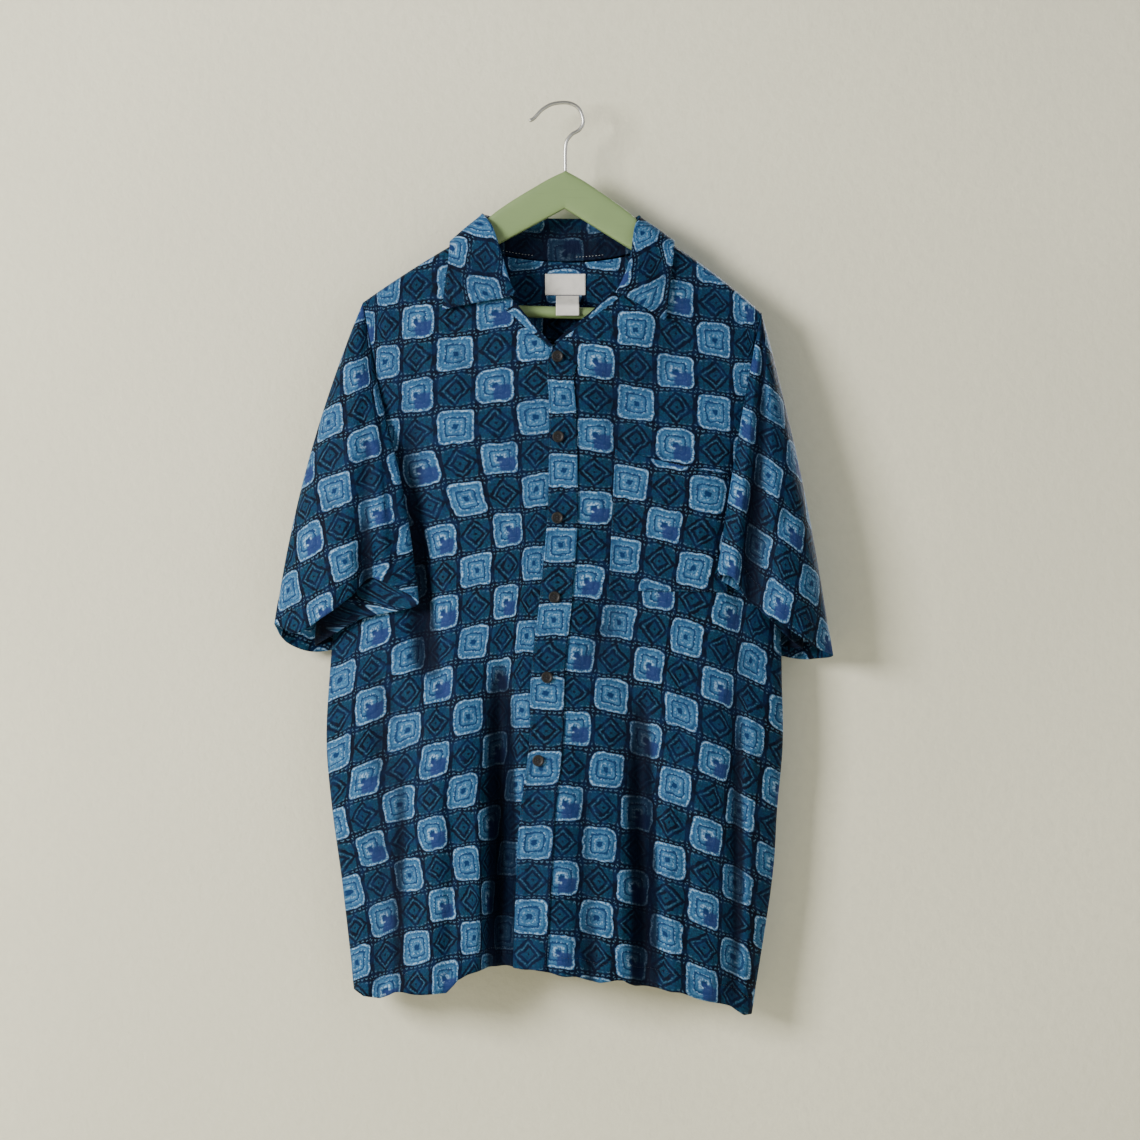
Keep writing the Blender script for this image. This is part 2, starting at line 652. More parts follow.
def front_print(front, plan, points, b):
    """Print coordinates in cells: the flat cloth's distance from the front edge and the drop of its rows."""
    edge = front.sections.at(np.maximum(b, front.sections.place("chest")))["inX"]
    distance = np.maximum(0, (points[..., 0] - edge) * front.side)
    parts = [plan[key] for key in ("chest", "hip", "hem")]
    flat = [np.interp(distance, part.column("hanging"), part.column("flat")) for part in parts]
    cloth = lerp(lerp(flat[0], flat[1], smoothstep(b, *HIP_BLEND)), flat[2], smoothstep(b, *HEM_BLEND))
    down = PRINT_TOP - points[..., 2] - droop(distance, b)
    across = front.side * (cloth - plan["at"]) / CELL["wide"] + plan["column"]
    return np.stack([across, (down - plan["from"]) / CELL["high"] + plan["row"]], axis=-1)


def back_print(points, b):
    """Print coordinates of the back: columns from its middle, which close up below the waist, and sinking
    rows."""
    off = points[..., 0] - BACK_NECK["middle"]
    stretch = lerp(*BACK_STRETCH, smoothstep(b, *HIP_BLEND))
    down = PRINT_TOP - points[..., 2] - droop(np.abs(off), b) - LEFT_PRINT["from"]
    return np.stack([off * stretch / CELL["wide"] + 0.5, down / CELL["high"] + 0.5], axis=-1)


def arc(points, axis):
    """Distance along the grid's lines from their first point."""
    steps = np.linalg.norm(np.diff(points, axis=axis), axis=-1)
    total = np.cumsum(steps, axis=axis)
    zero = np.zeros_like(np.take(total, [0], axis=axis))
    return np.concatenate([zero, total], axis=axis)


def grid(across, down):
    """Two share arrays, across varying along a row and down varying from row to row."""
    return np.meshgrid(np.asarray(across, float), np.asarray(down, float))


def shares(size):
    """Share arrays from 0 to 1 over a grid of this many columns and rows."""
    return grid(np.linspace(0, 1, size["columns"]), np.linspace(0, 1, size["rows"]))


def normals_of(points, flip=False, closed=False):
    """Unit normals of a grid of points, from the differences along its rows and columns."""
    if closed:
        across = np.roll(points, -1, axis=1) - np.roll(points, 1, axis=1)
    else:
        across = np.gradient(points, axis=1)
    normal = unit(np.cross(across, np.gradient(points, axis=0)))
    return -normal if flip else normal


def grid_faces(rows, columns, flip=False, closed=False):
    """Quads of a grid of points, and for each corner its row and column, where a closed grid's last column
    of coordinates is one past its last column of points."""
    j, i = np.meshgrid(np.arange(rows - 1), np.arange(columns if closed else columns - 1), indexing="ij")
    corners = [(j, i), (j, i + 1), (j + 1, i + 1), (j + 1, i)]
    if flip:
        corners = corners[::-1]
    rows_of = np.stack([c[0] for c in corners], axis=-1).reshape(-1, 4)
    columns_of = np.stack([c[1] for c in corners], axis=-1).reshape(-1, 4)
    return rows_of * columns + columns_of % columns, rows_of, columns_of


def new_object(name, points, faces):
    """An object with a mesh of points in millimetres and faces as arrays of point numbers."""
    mesh = bpy.data.meshes.new(name)
    mesh.from_pydata((np.asarray(points).reshape(-1, 3) * MM).tolist(), [], np.asarray(faces).tolist())
    mesh.polygons.foreach_set("use_smooth", np.ones(len(mesh.polygons), bool))
    mesh.update()
    piece = bpy.data.objects.new(name, mesh)
    bpy.context.scene.collection.objects.link(piece)
    return piece


# Shading of the folds: how far round a point the cloth is averaged, and the depth that counts as one.
HOLLOW = {"reach": 19.0, "depth": 5.5}


def hollows(points, normal, closed):
    """How far each point lies under the cloth around it, as a share of a fold's depth: the distance along
    the normal to the same grid averaged over the reach."""
    around = points.copy()
    for axis in (1, 0):
        spacing = np.linalg.norm(np.diff(points, axis=axis), axis=-1).mean()
        for _ in range(int(2 * (HOLLOW["reach"] / spacing) ** 2)):
            if closed and axis:
                before, after = np.roll(around, 1, 1), np.roll(around, -1, 1)
            else:
                ends = [np.take(around, [i], axis=axis) for i in (0, -1)]
                padded = np.concatenate([ends[0], around, ends[1]], axis=axis)
                before = padded[:-2] if axis == 0 else padded[:, :-2]
                after = padded[2:] if axis == 0 else padded[:, 2:]
            around = (before + 2 * around + after) / 4
    depth = ((around - points) * normal).sum(axis=-1) / HOLLOW["depth"]
    return depth - np.median(depth)


def surface(name, points, coordinates=None, flip=False, closed=False):
    """An object from a grid of points, with its print coordinates as a UV map and its hollows."""
    rows, columns = points.shape[:2]
    faces, rows_of, columns_of = grid_faces(rows, columns, flip, closed)
    piece = new_object(name, points, faces)
    if coordinates is not None:
        layer = piece.data.uv_layers.new(name="print")
        layer.data.foreach_set("uv", coordinates[rows_of, columns_of].astype(np.float32).ravel())
        layer = piece.data.attributes.new("hollow", "FLOAT", "POINT")
        layer.data.foreach_set("value", hollows(points, normals_of(points, flip, closed), closed).ravel())
    return piece


def shell(piece, thickness):
    """Gives a sheet its thickness, inwards from its outer face."""
    wall = piece.modifiers.new("thickness", "SOLIDIFY")
    wall.thickness = thickness * MM
    wall.offset = -1
    return piece


def finish_piece(piece, finish, *nodes, slot=None):
    """Gives a piece its material, its place on the body, and the solids that it stands for."""
    piece.data.materials.append(finish)
    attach(piece, "root")
    if nodes:
        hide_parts(*nodes)
    return piece


class Value:
    """A socket of a shader that can be used in Python expressions."""

    def __init__(self, shader, socket):
        self.shader = shader
        self.socket = socket

    def math(self, operation, *others):
        inputs = {i: value for i, value in enumerate((self, *others))}
        return self.shader.node("ShaderNodeMath", {"operation": operation}, inputs)

    def __add__(self, other):
        return self.math("ADD", other)

    def __sub__(self, other):
        return self.math("SUBTRACT", other)

    def __mul__(self, other):
        return self.math("MULTIPLY", other)

    def __truediv__(self, other):
        return self.math("DIVIDE", other)

    def __radd__(self, other):
        return self + other

    def __rsub__(self, other):
        return self * -1.0 + other

    def __gt__(self, other):
        return self.math("GREATER_THAN", other)

    def floor(self):
        return self.math("FLOOR")

    def fraction(self):
        return self.math("FRACT")

    def size(self):
        return self.math("ABSOLUTE")

    def largest(self, other):
        return self.math("MAXIMUM", other)

    def odd(self):
        """1 where a whole number is odd, 0 where it is even."""
        return (self * 0.5).fraction() > 0.25

    def ramp(self, low, high):
        """0 below low and 1 above high, smooth between them."""
        settings = {"interpolation_type": "SMOOTHSTEP"}
        inputs = {"Value": self, "From Min": low, "From Max": high}
        return self.shader.node("ShaderNodeMapRange", settings, inputs)

    def band(self, middle, half, soft):
        """1 within half of the middle value, fading to 0 over soft."""
        return 1.0 - (self - middle).size().ramp(half, half + soft)


class Shader:
    """A node material under construction. node makes any node, and Value holds what comes out."""

    def __init__(self, name):
        self.material = bpy.data.materials.new(name)
        self.material.use_nodes = True
        self.tree = self.material.node_tree
        self.tree.nodes.clear()

    def node(self, kind, settings=None, inputs=None, output=0):
        made = self.tree.nodes.new(kind)
        for key, value in (settings or {}).items():
            setattr(made, key, value)
        for key, value in (inputs or {}).items():
            if isinstance(value, Value):
                self.tree.links.new(value.socket, made.inputs[key])
            else:
                made.inputs[key].default_value = value
        return Value(self, made.outputs[output])

    def mix(self, share, first, second):
        """Colour that goes from first to second with share."""
        settings = {"data_type": "RGBA"}
        return self.node("ShaderNodeMix", settings, {0: share, 6: first, 7: second}, 2)

    def noise(self, where, scale, detail=2.0, rough=0.5, output=0):
        inputs = {"Vector": where, "Scale": scale, "Detail": detail, "Roughness": rough}
        return self.node("ShaderNodeTexNoise", None, inputs, output)

    def place(self):
        """Place on the object, in metres."""
        return self.node("ShaderNodeTexCoord", output=3)

    def parts(self, vector):
        """The X, Y and Z of a vector."""
        made = self.node("ShaderNodeSeparateXYZ", None, {0: vector})
        return [Value(self, made.socket.node.outputs[i]) for i in range(3)]

    def stretched(self, vector, scale):
        return self.node("ShaderNodeMapping", None, {"Vector": vector, "Scale": scale})

    def bump(self, height, strength, distance, under=None):
        inputs = {"Height": height, "Strength": strength, "Distance": distance * MM}
        if under:
            inputs["Normal"] = under
        return self.node("ShaderNodeBump", None, inputs)

    def surface(self, **values):
        """Ends the material with a Principled BSDF whose sockets get these values."""
        inputs = {key.replace("_", " "): value for key, value in values.items()}
        return self.finished(self.node("ShaderNodeBsdfPrincipled", None, inputs))

    def finished(self, value):
        """Joins what a node gives to the material's surface."""
        out = self.tree.nodes.new("ShaderNodeOutputMaterial")
        self.tree.links.new(value.socket, out.inputs["Surface"])
        return self.material


def linear(colour):
    """A display colour of 0 to 1 as light, with alpha."""
    c = np.asarray(colour, float)
    light = np.where(c <= 0.04045, c / 12.92, ((c + 0.055) / 1.055) ** 2.4)
    return (*light.tolist(), 1.0)


def light_cell(shader, x, y, square, brush, violet, colours):
    """A light cell: a square ring round a dot, with a pale, broken outline that is knobbed at its corners. A
    violet one has its lower right quarter in violet and a hook in place of the inner square."""
    pale, deep = colours["pale"], colours["deep"]
    rough = square + (brush - 0.5) * 0.1
    ground = shader.mix(brush.ramp(0.36, 0.68), colours["mid"], colours["light"])
    ground = shader.mix(rough.band(0.365, 0.006, 0.02) * 0.55, ground, deep)
    ground = shader.mix(rough.band(0.245, 0.014, 0.018) * 0.85, ground, deep)
    ground = shader.mix(rough.band(0.285, 0.004, 0.018) * brush.ramp(0.5, 0.62) * 0.7, ground, pale)
    ground = shader.mix(rough.band(0.155, 0.008, 0.02) * brush.ramp(0.46, 0.62) * 0.6, ground, pale)
    ground = shader.mix((1.0 - rough.ramp(0.055, 0.085)) * 0.95, ground, deep)
    quarter = (x + brush * 0.16).ramp(0.0, 0.06) * (y + brush * 0.1).ramp(0.0, 0.08)
    quarter = quarter * (1.0 - rough.ramp(0.37, 0.41))
    ground = shader.mix(quarter * violet * 0.9, ground, colours["violet"])
    hook = rough.band(0.12, 0.016, 0.02) * (1.0 - x.ramp(-0.02, 0.04) * y.ramp(-0.02, 0.04))
    ground = shader.mix(hook * violet * brush.ramp(0.4, 0.58) * 0.75, ground, pale)
    outline = rough.band(0.432, 0.007, 0.02) * brush.ramp(0.4, 0.6)
    knobs = (x.size() * y.size()).ramp(0.16, 0.18) * square.ramp(0.39, 0.41) * 0.8
    return shader.mix(outline.largest(knobs * brush.ramp(0.35, 0.55)), ground, pale)


def dark_cell(shader, x, y, square, brush, colours):
    """A dark cell: nested black diamonds on teal, and pebbles along its borders."""
    navy, line = colours["navy"], colours["line"]
    diamond = x.size() + y.size() + (brush - 0.5) * 0.07
    ground = shader.mix(brush.ramp(0.35, 0.7), colours["teal"], colours["green"])
    ground = shader.mix(diamond.band(0.40, 0.04, 0.02) * 0.95, ground, navy)
    ground = shader.mix(diamond.band(0.22, 0.04, 0.02) * 0.95, ground, navy)
    ground = shader.mix(diamond.band(0.31, 0.008, 0.02) * brush.ramp(0.4, 0.6) * 0.55, ground, line)
    ground = shader.mix((1.0 - diamond.ramp(0.03, 0.06)) * 0.9, ground, navy)
    border = square.ramp(0.40, 0.44)
    ground = shader.mix(border * 0.95, ground, navy)
    pebble_x = ((x * 7.0).fraction() - 0.5) / 7.0
    pebble_y = ((y * 7.0).fraction() - 0.5) / 7.0
    pebble = (pebble_x * pebble_x + pebble_y * pebble_y).math("SQRT") + (brush - 0.5) * 0.03
    dots = pebble.band(0.03, 0.008, 0.012) * square.ramp(0.37, 0.4) * y.size().ramp(0.33, 0.38)
    return shader.mix(dots * 0.8, ground, line)


PRINT_COLOURS = ("navy", "teal", "green", "light", "mid", "deep", "pale", "violet", "line")


def printed_cloth(look):
    """The printed cloth: a checker of light and dark cells on the cloth's own coordinates, with the fine
    crinkle and weave of thin plain cloth."""
    shader = Shader("printed cloth")
    colours = {key: linear(getattr(look, key)) for key in PRINT_COLOURS}
    flat = shader.node("ShaderNodeUVMap", {"uv_map": "print"})
    wander = shader.noise(flat, 1.7, 1.0, output=1)
    u, v, _ = shader.parts(flat)
    wide, high, _ = shader.parts(wander)
    shake_u, shake_v, _ = shader.parts(shader.noise(flat, 6.5, 1.0, output=1))
    u = u + (wide - 0.5) * 0.16 + (shake_u - 0.5) * 0.07
    v = v + (high - 0.5) * 0.16 + (shake_v - 0.5) * 0.07
    column, row = u.floor(), v.floor()
    x, y = u.fraction() - 0.5, v.fraction() - 0.5
    brush = shader.noise(flat, 17.0, 3.0, 0.6)
    x2, y2 = x * x, y * y
    square = (x2 * x2 * x2 + y2 * y2 * y2).math("POWER", 1 / 6)
    light = 1.0 - (column + row).odd()
    violet = 1.0 - column.odd()
    inside = 1.0 - (square + (brush - 0.5) * 0.06).ramp(0.445, 0.468)
    dark = dark_cell(shader, x, y, square, brush, colours)
    bright = light_cell(shader, x, y, square, brush, violet, colours)
    colour = shader.mix(light * inside, shader.mix(light, dark, colours["navy"]), bright)
    where = shader.place()
    blot = shader.noise(flat, 3.4, 2.0)
    colour = shader.mix(blot.ramp(0.42, 0.7) * 0.4, colour, colours["deep"])
    fade = shader.noise(where, 9.0, 3.0)
    colour = shader.mix(fade.ramp(0.35, 0.75) * 0.18, colour, colours["deep"])
    hollow = shader.node("ShaderNodeAttribute", {"attribute_name": "hollow"}, None, 2)
    colour = shader.mix(hollow.ramp(-0.1, 0.8) * 0.88, colour, colours["navy"])
    weave = shader.bump((u * 230.0).math("SINE") * (v * 230.0).math("SINE"), 0.12, 0.1)
    crinkle = shader.noise(shader.stretched(where, (1.0, 1.0, 0.5)), 60.0, 4.0, 0.55)
    normal = shader.bump(crinkle, 0.8, 4.0, weave)
    rough = 0.62 + brush * 0.2
    return shader.surface(
        Base_Color=colour, Roughness=rough, Normal=normal, Sheen_Weight=0.05, Sheen_Roughness=0.5,
        Sheen_Tint=linear(look.light), Specular_IOR_Level=0.08,
    )


def sewing_thread(name, colour):
    """Twisted sewing thread: fine diagonal ribs."""
    shader = Shader(name)
    where = shader.place()
    twist = shader.noise(where, 2600.0, 2.0)
    tone = shader.mix(twist, linear(colour), linear([c * 0.7 for c in colour]))
    return shader.surface(Base_Color=tone, Roughness=0.55, Normal=shader.bump(twist, 0.4, 0.1))


def label_tape(look):
    """Woven white tape: fine ribs across, slightly uneven and a little grey."""
    shader = Shader("woven tape")
    where = shader.place()
    x, _, z = shader.parts(where)
    ribs = (z * 9000.0).math("SINE") * 0.5 + (x * 6000.0).math("SINE") * 0.3
    soil = shader.noise(where, 120.0, 3.0)
    tone = shader.mix(soil.ramp(0.4, 0.8) * 0.5, linear(look.tape), linear([c * 0.86 for c in look.tape]))
    return shader.surface(Base_Color=tone, Roughness=0.85, Normal=shader.bump(ribs, 0.3, 0.15))


def painted_wood(look):
    """Satin paint over fine-grained wood: faint long grain, thin brush marks and slightly worn edges."""
    shader = Shader("painted wood")
    where = shader.place()
    grain = shader.noise(shader.stretched(where, (9.0, 60.0, 120.0)), 3.0, 5.0, 0.6)
    blotch = shader.noise(where, 22.0, 3.0)
    paint = look.hanger
    tone = shader.mix(blotch.ramp(0.3, 0.8) * 0.6, linear(paint), linear([c * 0.93 for c in paint]))
    tone = shader.mix(grain.ramp(0.55, 0.75) * 0.3, tone, linear([c * 0.86 for c in paint]))
    normal = shader.bump(grain, 0.12, 0.5)
    return shader.surface(
        Base_Color=tone, Roughness=0.42 + blotch * 0.12, Normal=normal, Coat_Weight=0.15, Coat_Roughness=0.3
    )


def plated_wire(look):
    """Plated steel wire with faint drawing lines and a few dull spots."""
    shader = Shader("plated wire")
    where = shader.place()
    spots = shader.noise(where, 180.0, 4.0)
    lines = shader.noise(shader.stretched(where, (30.0, 30.0, 4.0)), 60.0, 2.0)
    dull = linear([c * 0.72 for c in look.steel])
    tone = shader.mix(spots.ramp(0.55, 0.75) * 0.5, linear(look.steel), dull)
    normal = shader.bump(lines, 0.08, 0.1)
    return shader.surface(Base_Color=tone, Metallic=1.0, Roughness=0.24 + spots * 0.14, Normal=normal)


def dark_horn(look):
    """Dark horn: brown-black with paler clouds towards the button's middle."""
    shader = Shader("dark horn")
    where = shader.place()
    cloud = shader.noise(shader.stretched(where, (1.0, 1.0, 1.8)), 260.0, 3.0, 0.6)
    paler = linear([min(1.0, c * 2.6 + 0.05) for c in look.horn])
    tone = shader.mix(cloud.ramp(0.45, 0.75) * 0.55, linear(look.horn), paler)
    return shader.surface(Base_Color=tone, Roughness=0.4 + cloud * 0.2, Specular_IOR_Level=0.3)


def plastered_wall(look):
    """Pale plaster backdrop, seen from its front only: faint blotches and a fine grain."""
    shader = Shader("pale plaster")
    where = shader.place()
    blotch = shader.noise(where, 1.6, 4.0)
    grain = shader.noise(where, 90.0, 4.0, 0.6)
    tone = shader.mix(blotch.ramp(0.35, 0.7), linear(look.wall), linear([c * 0.965 for c in look.wall]))
    tone = shader.mix(grain.ramp(0.4, 0.7) * 0.35, tone, linear([c * 0.95 for c in look.wall]))
    inputs = {"Base Color": tone, "Roughness": 0.95, "Normal": shader.bump(grain, 0.5, 2.0)}
    front = shader.node("ShaderNodeBsdfPrincipled", None, inputs)
    clear = shader.node("ShaderNodeBsdfTransparent")
    behind = shader.node("ShaderNodeNewGeometry", output="Backfacing")
    return shader.finished(shader.node("ShaderNodeMixShader", None, {0: behind, 1: front, 2: clear}))


def material(name, make, *values):
    """The material of this name, made on its first use."""
    return bpy.data.materials.get(name) or make(*values)


WHITE_THREAD = (0.76, 0.78, 0.79)


def cloth_finish(look):
    return material("printed cloth", printed_cloth, look)


def thread_finish(look):
    return material("navy thread", sewing_thread, "navy thread", look.thread)


def white_finish():
    return material("white thread", sewing_thread, "white thread", WHITE_THREAD)


# Stitches
STITCH = {"length": 2.5, "gap": 1.0, "wide": 0.28, "high": 0.22, "proud": 0.25}


def stitches(lines):
    """Points and faces of stitches along lines. Each line is (points, normals): a stitch is a long
    octahedron every pitch along it, with its faces' middle line on the cloth."""
    points, faces = [], []
    for path, normal in lines:
        run = np.concatenate([[0], np.cumsum(np.linalg.norm(np.diff(path, axis=0), axis=1))])
        pitch = STITCH["length"] + STITCH["gap"]
        middles = np.arange(pitch / 2, run[-1] - pitch / 2, pitch)
        if not len(middles):
            continue

        def read(values, at):
            return np.stack([np.interp(at, run, values[:, k]) for k in range(3)], axis=1)

        start, end = (read(path, middles + s * STITCH["length"] / 2) for s in (-1, 1))
        up = unit(read(normal, middles))
        along = unit(end - start)
        side = np.cross(up, along)
        middle = (start + end) / 2 + up * STITCH["proud"]
        corners = [
            start,
            middle + side * STITCH["wide"],
            middle + up * STITCH["high"],
            middle - side * STITCH["wide"],
            middle - up * STITCH["high"],
            end,
        ]
        first = sum(len(p) for p in points)
        points.append(np.stack(corners, axis=1).reshape(-1, 3))
        sides = ((1, 2), (2, 3), (3, 4), (4, 1))
        one = np.array([(0, b, a) for a, b in sides] + [(5, a, b) for a, b in sides])
        starts = first + len(corners) * np.arange(len(middles))
        faces.append((starts[:, None, None] + one).reshape(-1, 3))
    return np.concatenate(points), np.concatenate(faces)


def stitched(name, lines, finish):
    """A piece of stitches along lines of (points, normals)."""
    points, faces = stitches(lines)
    return finish_piece(new_object(name, points, faces), finish)


def line_on(face, u, v, flip, lift=0.0):
    """A line on a face at shares u and v, with the face's normals there, lifted off it."""
    step = 1e-3
    here = face(u, v)
    across = face(np.clip(u + step, 0, 1), v) - face(np.clip(u - step, 0, 1), v)
    down = face(u, np.clip(v + step, 0, 1)) - face(u, np.clip(v - step, 0, 1))
    normal = unit(np.cross(across, down)) * (-1 if flip else 1)
    return here + normal * lift, normal


def laid_on(points, flip, lift):
    """A grid of points moved outwards along its own normals."""
    return points + normals_of(points, flip) * lift


def sheet_piece(piece, thickness, finish, slot="cloth"):
    """Finishes a sheet that stands for the solid of its name: thickness, material, cut and what holds it."""
    finish_piece(shell(piece, thickness), finish, piece.name.rsplit("_", 1)[0], slot=slot)


# Body
BODY_GRID = {"columns": 110, "rows": 210}
BACK_GRID = {"columns": 150, "rows": 170}
BACK_LENGTH = 860
HEM_FOLD = {"height": 20, "raise": 0.5}


def front_face(front):
    return lambda u, b: front_point(front, u, b)


def raised_hem(points, normals, depth):
    """Lifts the turned hem: the lowest strip of this depth stands proud by the thickness of its fold."""
    height = arc(points[::-1], 0)[::-1]
    rise = HEM_FOLD["raise"] * (1 - smoothstep(height, depth - 1.5, depth + 0.5))
    return points + normals * rise[..., None]


class SHIRT_OT_body(bpy.types.Operator):
    """Makes the two fronts and the back, with their hem stitching"""

    bl_idname = "shirt.body"
    bl_label = "Fronts and back"

    def execute(self, context):
        look = context.scene.shirt_look
        finish = cloth_finish(look)
        lines = []
        for name, front, plan in (
            ("front_right", RIGHT_FRONT, RIGHT_PRINT),
            ("front_left", LEFT_FRONT, LEFT_PRINT),
        ):
            flip = front.side > 0
            u, b = shares(BODY_GRID)
            points = front_point(front, u, b)
            coordinates = front_print(front, plan, points, b)
            points = raised_hem(points, normals_of(points, flip), HEM_FOLD["height"])
            piece = surface(name + "_cloth", points, coordinates, flip)
            sheet_piece(piece, SHELL, finish)
            u = np.linspace(0.02, 0.99, 300)
            lines.append(line_on(front_face(front), u, self.hem_share(front, u), flip, HEM_FOLD["raise"]))
        u, b = shares(BACK_GRID)
        points = back_point(u, b)
        coordinates = back_print(points, b)
        points = raised_hem(points, normals_of(points), HEM_FOLD["height"])
        piece = surface("back_cloth", points, coordinates)
        sheet_piece(piece, SHELL, finish)
        u = np.linspace(0.01, 0.99, 500)
        hem = np.full(u.shape, 1 - HEM_FOLD["height"] / BACK_LENGTH)
        lines.append(line_on(back_point, u, hem, False, HEM_FOLD["raise"]))
        stitched("hem_stitching", lines, thread_finish(look))
        return {"FINISHED"}

    def hem_share(self, front, u):
        """The share down the panel at which the hem's stitching runs, a fixed distance above its edge."""
        b = np.linspace(0.9, 1, 60)
        points = front_point(front, *grid(u, b))
        height = arc(points[::-1], 0)[::-1]
        return np.array([np.interp(-HEM_FOLD["height"], -height[:, k], b) for k in range(len(u))])


SLEEVE_GRID = {"columns": 190, "rows": 100}
SLEEVE_HEM = 25

# How much deeper the sleeves' creases are than their table says, the shares down the sleeve over which they
# come in, and the share at which the waves of the hem begin.
SLEEVE_PRESS = 1.7
SLEEVE_CREASES_START = (0.03, 0.15)
SLEEVE_RIPPLE_START = 0.9
SLEEVE_RIPPLES = Table(
    "height waves start",
    ("few", 0.9, 13, 0),
    ("more", 0.5, 22, 1),
    ("many", 0.2, 37, 0),
)

# A sleeve's print, from a mark at the top of its outer fold: the mark's edge, height, column and row, how
# far out and how far down the fold goes for one more column, how many rows the print sinks for each column
# round the cloth, and how tall a row hangs.
SLEEVE_PRINT = Table(
    "edge height column row out down slant tall",
    ("right", -215, -240, 2.2, -1.1, 105, 125, 0.4, 44.5),
    ("left", 215, -250, 1.2, -0.55, 53, -150, -0.5, 47.5),
)


def sleeve_print(sleeve, points, crest):
    """Print coordinates of a sleeve's grid, whose outer fold is the column of points called crest."""
    mark = SLEEVE_PRINT.row("right" if sleeve.side < 0 else "left")
    length = arc(points, 1)
    cells = (length - length[:, crest : crest + 1]) * sleeve.side / CELL["wide"]
    out = (points[:, crest : crest + 1, 0] - mark["edge"]) / mark["out"]
    rise = points[..., 2] - mark["height"]
    across = mark["column"] + cells + out + rise / mark["down"]
    return np.stack([across, mark["row"] + cells * mark["slant"] - rise / mark["tall"]], axis=-1)


def sleeve_surface(sleeve, u, t):
    """A sleeve's face with its own creases pressed in towards the body, on its front and back sides."""
    points = sleeve_point(sleeve, u, t)
    step = 1e-3
    round_it = sleeve_point(sleeve, u + step, t) - sleeve_point(sleeve, u - step, t)
    low, high = np.clip(t + step, 0, 1), np.clip(t - step, 0, 1)
    down = sleeve_point(sleeve, u, low) - sleeve_point(sleeve, u, high)
    normal = unit(np.cross(round_it, down)) * (-1 if sleeve.side > 0 else 1)
    pressed = creases(sleeve.creases, points[..., 0], points[..., 2]) * smoothstep(t, *SLEEVE_CREASES_START)
    turns = 2 * np.pi * u
    wave = sum(height * np.sin(waves * turns + start) for height, waves, start in SLEEVE_RIPPLES.values)
    depth = SLEEVE_PRESS * pressed + wave * smoothstep(t, SLEEVE_RIPPLE_START, 1)
    return points + normal * (depth * np.abs(normal[..., 1]) ** 0.5)[..., None]


def sleeve_face(sleeve):
    return lambda u, t: sleeve_surface(sleeve, u, t)


class SHIRT_OT_sleeves(bpy.types.Operator):
    """Makes the two wide sleeves and the stitching of their hems"""

    bl_idname = "shirt.sleeves"
    bl_label = "Sleeves"

    def execute(self, context):
        look = context.scene.shirt_look
        lines = []
        for name, sleeve in (("sleeve_right", RIGHT_SLEEVE), ("sleeve_left", LEFT_SLEEVE)):
            flip = sleeve.side > 0
            around = np.linspace(0, 1, SLEEVE_GRID["columns"] + 1)
            u, t = grid(around, np.linspace(0, 1, SLEEVE_GRID["rows"]))
            points = sleeve_surface(sleeve, u, t)
            labels = sleeve.lines.labels
            crest = np.argmin(np.abs(around - labels.index("outer edge") / len(labels)))
            coordinates = sleeve_print(sleeve, points, crest)
            ring = points[:, :-1]
            ring = raised_hem(ring, normals_of(ring, flip, closed=True), SLEEVE_HEM)
            piece = surface(name + "_cloth", ring, coordinates, flip, closed=True)
            sheet_piece(piece, SHELL, cloth_finish(look))
            down = arc(points, 0)
            height = down[-1] - down
            hem = np.array([np.interp(-SLEEVE_HEM, -height[:, k], t[:, k]) for k in range(len(around))])
            lines.append(line_on(sleeve_face(sleeve), around, hem, flip, HEM_FOLD["raise"]))
        stitched("sleeve_stitching", lines, thread_finish(look))
        return {"FINISHED"}


COLLAR_GRID = {"columns": 60, "rows": 260}
COLLAR_PRINT = {"across": 0.5, "down": 0.3}
COLLAR_THICK = 1.3

# Shares of the collar at which its stitching runs, and the two stretches of the pale stitches at the nape.
COLLAR_STITCHES = {"edge": 0.985, "ends": (0.006, 0.994), "fall": (0.62, 0.98), "seam": 0.03}
NAPE_STITCHES = ((-66, -29), (14, 46))
NAPE_PROUD = 0.5

LAPEL_GRID = {"columns": 10, "rows": 60}
LAPEL = {"width": 12, "tip": 4, "inside": 0.012}


def lapel_face(front, reach):
    """A lapel lies on the front along its edge, tapering down it. reach is the share past the edge."""
    sections = front.sections
    start = sections.place("collar end") + LAPEL["inside"]
    end = sections.place("top button") - LAPEL["inside"]

    def face(a, b):
        place = lerp(start, end, b)
        row = sections.at(place)
        width = lerp(LAPEL["width"], LAPEL["tip"], b) * (a - reach)
        return front_point(front, width / np.abs(row["outX"] - row["inX"]) * 2 / np.pi, place)

    return face


